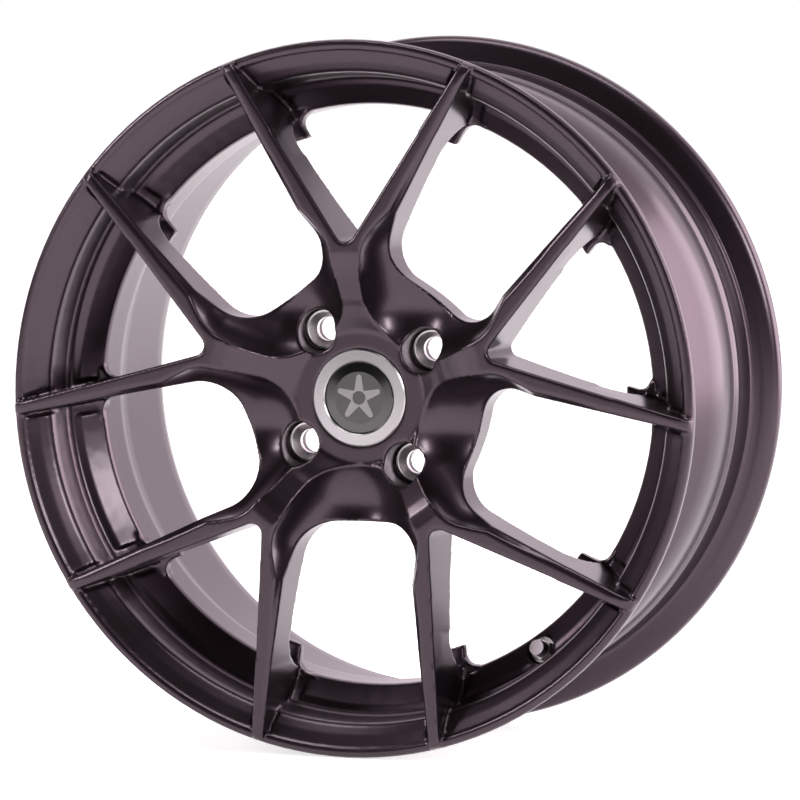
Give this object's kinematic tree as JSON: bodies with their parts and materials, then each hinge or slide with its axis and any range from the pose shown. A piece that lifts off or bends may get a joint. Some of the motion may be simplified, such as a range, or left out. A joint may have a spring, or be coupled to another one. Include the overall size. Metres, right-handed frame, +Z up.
{
  "type": "wheel rim",
  "caption": "Forged racing wheel rim with forked spokes, deep drop-centre barrel, clip-in centre cap and clamp-in tyre valve.",
  "frame": {"origin": "centre of the stud circle on the mounting face, on the wheel's axis", "axes": "+Y along the wheel's axis towards the car, -Y out of the spoked front face, +Z up with one fork pointing straight up"},
  "size_m": [0.4402, 0.2088, 0.4402],
  "materials": {
    "gunmetal_paint": "satin metallic gunmetal paint with a brown-mauve tint",
    "machined_seat": "turned bright seat",
    "brushed_ring": "circular brushed",
    "gloss_black": "gloss black",
    "silver_print": "flat silver print",
    "cap_plastic": "moulded black",
    "spring_wire": "drawn wire",
    "valve_metal": "satin plated",
    "valve_rubber": "matt moulded",
    "core_brass": "turned",
    "valve_cap_metal": "satin paint like the wheel"
  },
  "bodies": {
    "wheel": {"front_rim": "gunmetal_paint", "drop_centre": "gunmetal_paint", "rear_barrel": "gunmetal_paint", "rear_flange": "gunmetal_paint", "hub": "gunmetal_paint", "y_spoke_1": "gunmetal_paint", "y_spoke_2": "gunmetal_paint", "y_spoke_3": "gunmetal_paint", "y_spoke_4": "gunmetal_paint", "y_spoke_5": "gunmetal_paint", "nut_seat_1": "machined_seat", "nut_seat_2": "machined_seat", "nut_seat_3": "machined_seat", "nut_seat_4": "machined_seat", "valve_stem": "valve_metal", "valve_seal": "valve_rubber", "valve_washer": "valve_metal", "valve_nut": "valve_metal", "valve_core": "core_brass"},
    "centre_cap": {"cap_body": "cap_plastic", "cap_bezel": "brushed_ring", "cap_badge": "gloss_black", "cap_emblem": "silver_print", "cap_spring_ring": "spring_wire"},
    "cap_gasket": {"valve_cap_gasket": "valve_rubber"},
    "screw_cap": {"valve_cap": "valve_cap_metal"},
    "valve_pin": {"core_pin": "core_brass"}
  },
  "joints": [
    {"name": "centre_cap_pull", "type": "slide", "parent": "wheel", "child": "centre_cap", "axis": [0, -1, 0], "range_m": [0, 0.03]},
    {"name": "valve_cap_travel", "type": "slide", "parent": "wheel", "child": "cap_gasket", "axis": [-0.201, -0.9397, 0.2767], "range_m": [0, 0.00357]},
    {"name": "valve_cap_turn", "type": "hinge", "parent": "cap_gasket", "child": "screw_cap", "pos_m": [0.11109, -0.0177, -0.1529], "axis": [-0.201, -0.9397, 0.2767], "range_deg": [0, 1620]},
    {"name": "valve_pin_press", "type": "slide", "parent": "wheel", "child": "valve_pin", "axis": [0.201, 0.9397, -0.2767], "range_m": [0, 0.001], "stiffness_N_per_m": 900}
  ],
  "couplings": [
    {"joint": "valve_cap_turn", "follows": "valve_cap_travel", "rad_per_m": 7913.3}
  ]
}
